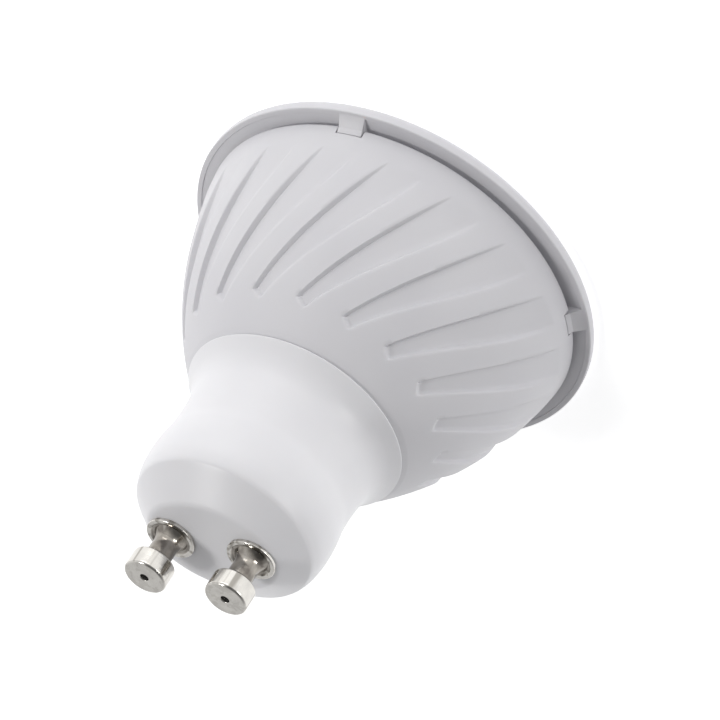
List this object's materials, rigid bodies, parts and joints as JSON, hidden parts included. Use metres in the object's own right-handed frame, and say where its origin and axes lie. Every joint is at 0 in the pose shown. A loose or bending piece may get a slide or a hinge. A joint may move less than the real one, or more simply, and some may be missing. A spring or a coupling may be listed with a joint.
{
  "type": "led spotlight bulb",
  "caption": "LED spotlight lamp: fluted white cup with a front ring and clear cover, waisted base with two twist-lock contact pins, light engine and driver inside.",
  "frame": {"origin": "centre of the front ring's front face, on the lamp's axis", "axes": "+Z along the lamp's axis from the front face to the pin heads; +X through the right contact pin, so both pins lie on X"},
  "size_m": [0.05, 0.05, 0.0516],
  "materials": {
    "base_plastic": "smooth satin moulded white",
    "cup_plastic": "fine matte moulded white",
    "plated_pin": "bright nickel plate",
    "clear_cover": "clear polished",
    "aluminium": "pressed, satin",
    "pad_silicone": "soft matte",
    "led_board": "white solder mask on aluminium",
    "led_package": "white package with yellow phosphor window",
    "screw_steel": "zinc plated",
    "driver_board": "green solder mask on glass laminate",
    "can_sleeve": "black shrink sleeve on an aluminium can",
    "film_box": "dipped resin",
    "chip_black": "moulded epoxy",
    "choke_winding": "ferrite drum with enamelled winding",
    "resistor_body": "lacquered ceramic",
    "lead_black": "insulated copper lead",
    "lead_red": "insulated copper lead",
    "solder": "bright solder"
  },
  "bodies": {
    "root": {"base_shell": "base_plastic", "contact_pin_left": "plated_pin", "contact_pin_right": "plated_pin", "cup_shell": "cup_plastic", "front_ring": "cup_plastic", "front_lens": "clear_cover", "heat_sink": "aluminium", "thermal_pad": "pad_silicone", "led_board": "led_board", "led_1": "led_package", "led_2": "led_package", "led_3": "led_package", "led_4": "led_package", "led_5": "led_package", "led_6": "led_package", "led_7": "led_package", "led_8": "led_package", "board_screws": "screw_steel", "driver_board": "driver_board", "storage_capacitor": "can_sleeve", "film_capacitor": "film_box", "bridge_rectifier": "chip_black", "driver_chip": "chip_black", "choke": "choke_winding", "fuse_resistor": "resistor_body", "mains_lead_left": "lead_black", "mains_lead_right": "lead_black", "led_lead_black": "lead_black", "led_lead_red": "lead_red", "solder_joints": "solder"}
  },
  "joints": []
}
